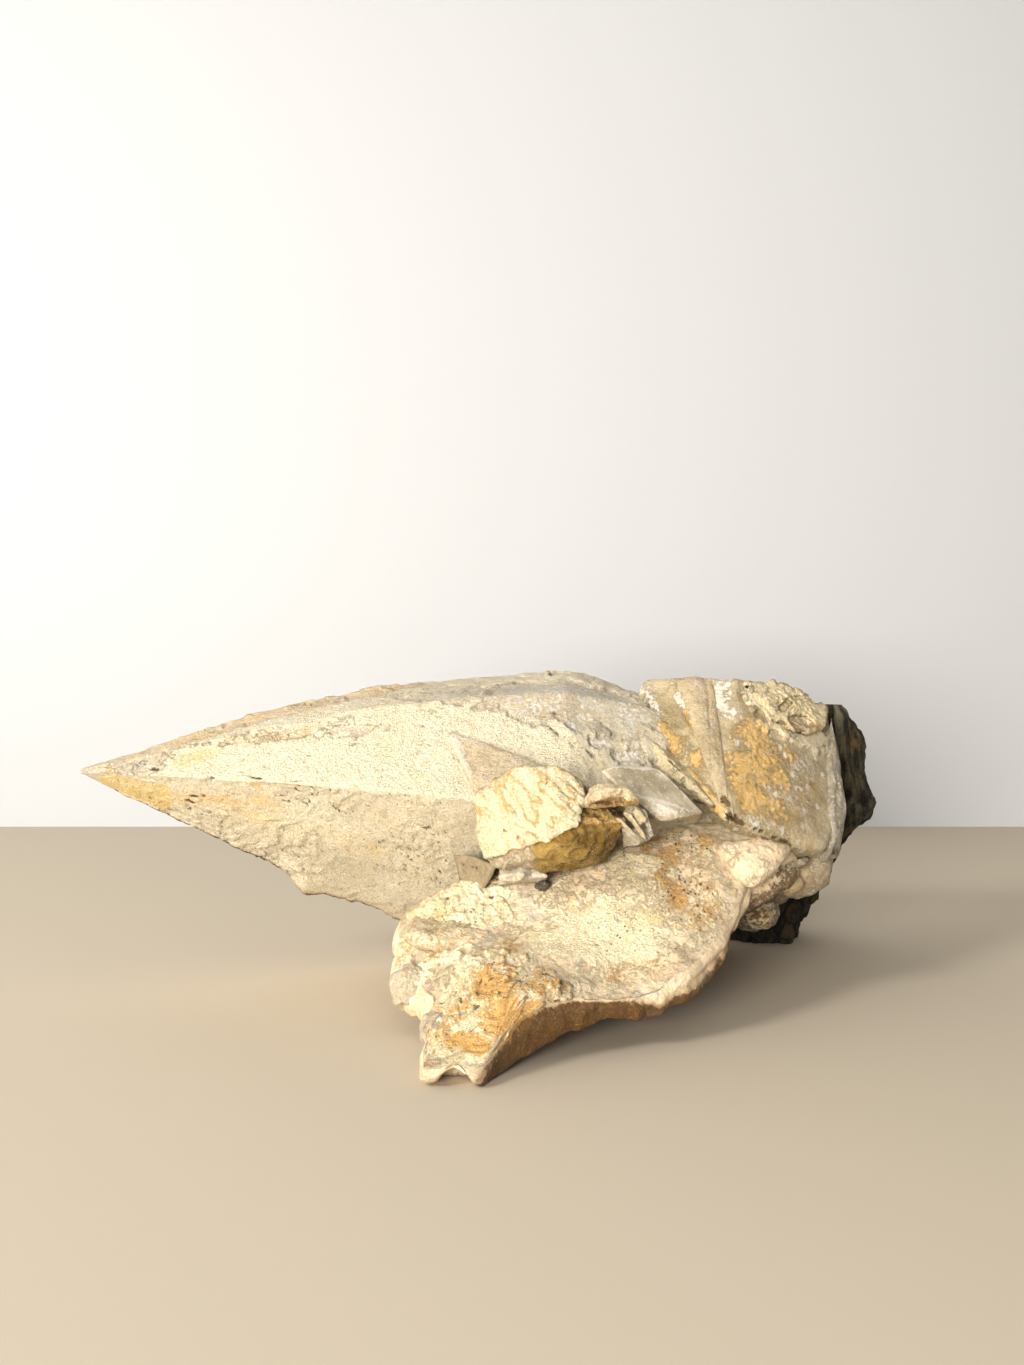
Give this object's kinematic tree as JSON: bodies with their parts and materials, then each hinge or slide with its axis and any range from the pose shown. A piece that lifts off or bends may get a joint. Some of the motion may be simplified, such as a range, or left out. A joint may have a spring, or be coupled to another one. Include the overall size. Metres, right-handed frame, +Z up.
{
  "type": "mineral specimen",
  "caption": "Dogtooth calcite crystal cluster, cream and orange crusted, standing on a sloping calcite shelf with a leg and on its dark host rock.",
  "frame": {"origin": "middle of the bounding box, on the surface the specimen stands on", "axes": "+Z up; X along the long dogtooth, whose point is towards -X, with the host rock at +X; -Y towards the leg and the front of the shelf"},
  "size_m": [0.2652, 0.1751, 0.0997],
  "materials": {
    "calcite": "cream crusted crystal, part matt, part waxy",
    "host_rock": "rough layered rock"
  },
  "bodies": {
    "root": {"calcite_crystals": "calcite", "host_rock": "host_rock"}
  },
  "joints": []
}
